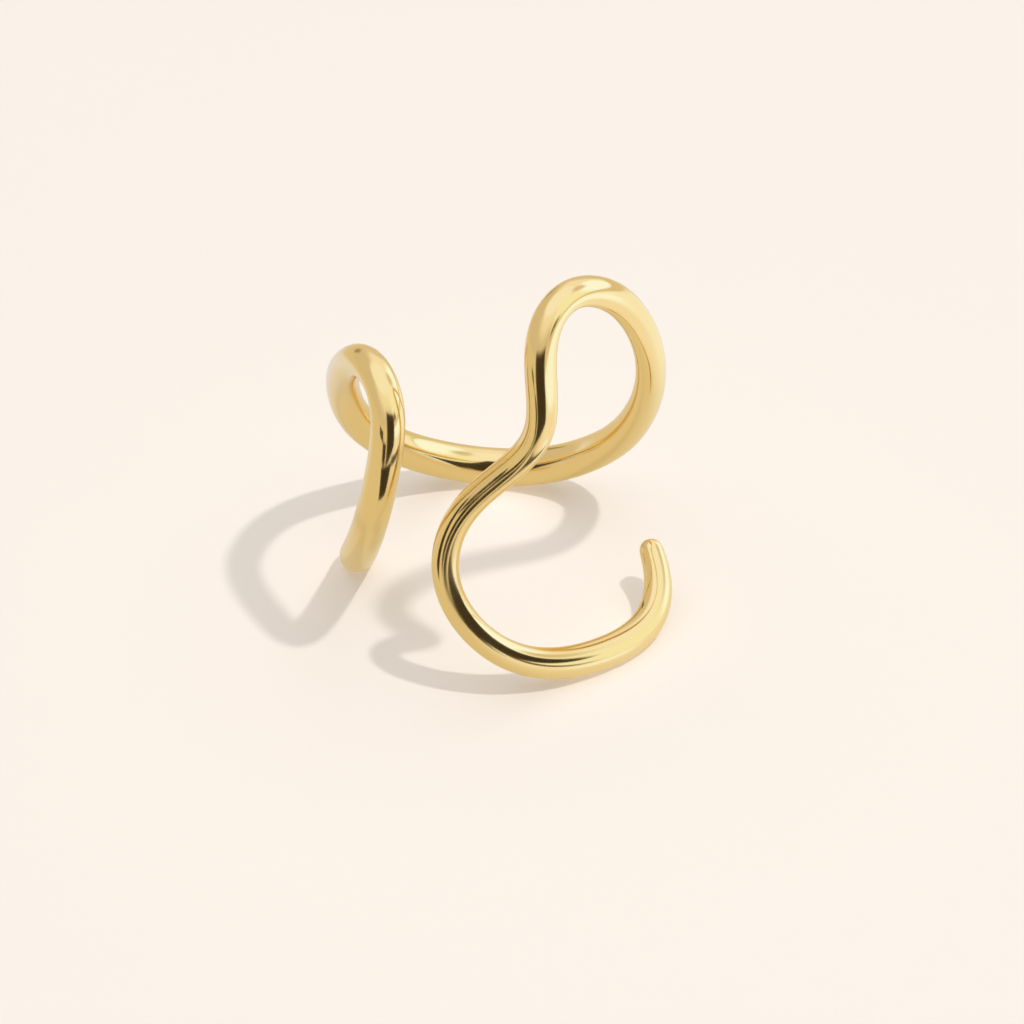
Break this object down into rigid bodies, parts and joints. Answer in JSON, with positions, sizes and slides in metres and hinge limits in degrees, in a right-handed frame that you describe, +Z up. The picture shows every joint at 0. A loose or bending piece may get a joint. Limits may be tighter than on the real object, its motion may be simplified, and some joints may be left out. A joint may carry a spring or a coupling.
{
  "type": "wave ring",
  "caption": "Open finger ring of round polished gold wire that rises and falls as a tall wave around the finger, with rounded free ends.",
  "frame": {"origin": "on the surface that the ring stands on, under the middle of its outline seen from above", "axes": "+Z up along the finger, +Y to the back trough, +X to the side of the free end"},
  "size_m": [0.02, 0.0216, 0.0284],
  "materials": {
    "polished_gold": "mirror polished yellow gold plate"
  },
  "bodies": {
    "root": {"wave_band": "polished_gold"}
  },
  "joints": []
}
